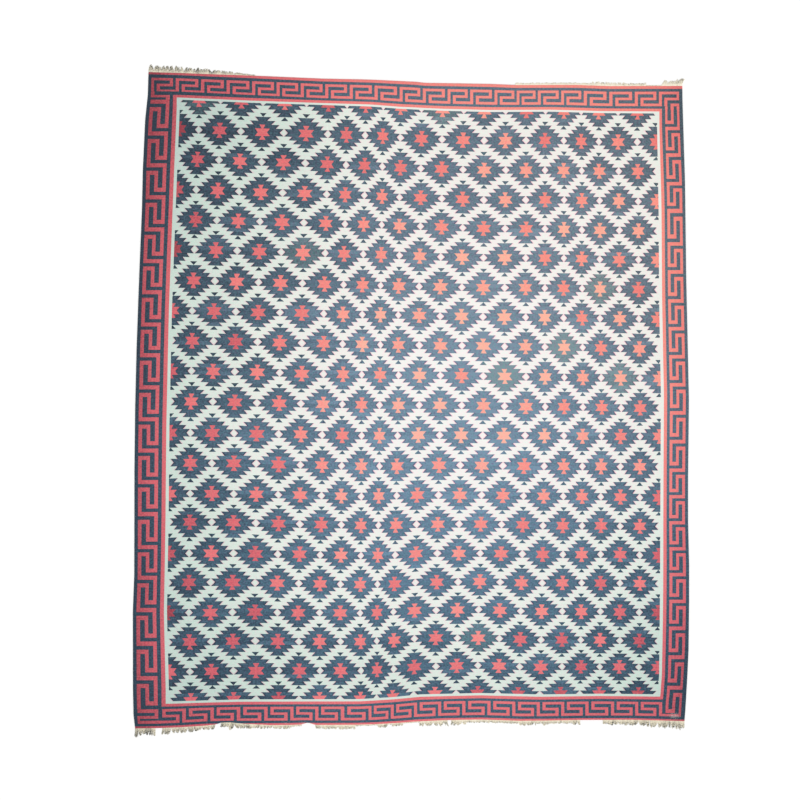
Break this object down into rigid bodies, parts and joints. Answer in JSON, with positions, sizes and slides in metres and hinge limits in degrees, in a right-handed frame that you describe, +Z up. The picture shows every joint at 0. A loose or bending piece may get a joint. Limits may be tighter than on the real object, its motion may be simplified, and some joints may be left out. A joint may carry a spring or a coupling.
{
  "type": "dhurrie rug",
  "caption": "Large hand-woven flat cotton rug with a key-pattern border, rows of stepped medallions and a worn, cut warp fringe at both ends, lying flat on the floor.",
  "frame": {"origin": "on the floor under the middle of the whole rug, fringes included", "axes": "+Z up from the floor; +Y along the rug's length, towards the end whose fringe is mostly worn away; +X across its width, to the right when looking along +Y"},
  "size_m": [3.114, 3.7796, 0.004],
  "materials": {
    "woven_cotton": "matt flat weave in faded slate blue, brick red and ivory",
    "warp_cotton": "matt undyed cream cotton yarn, worn and a little soiled"
  },
  "bodies": {
    "root": {"cloth": "woven_cotton", "fringe_far": "warp_cotton", "fringe_near": "warp_cotton"}
  },
  "joints": []
}
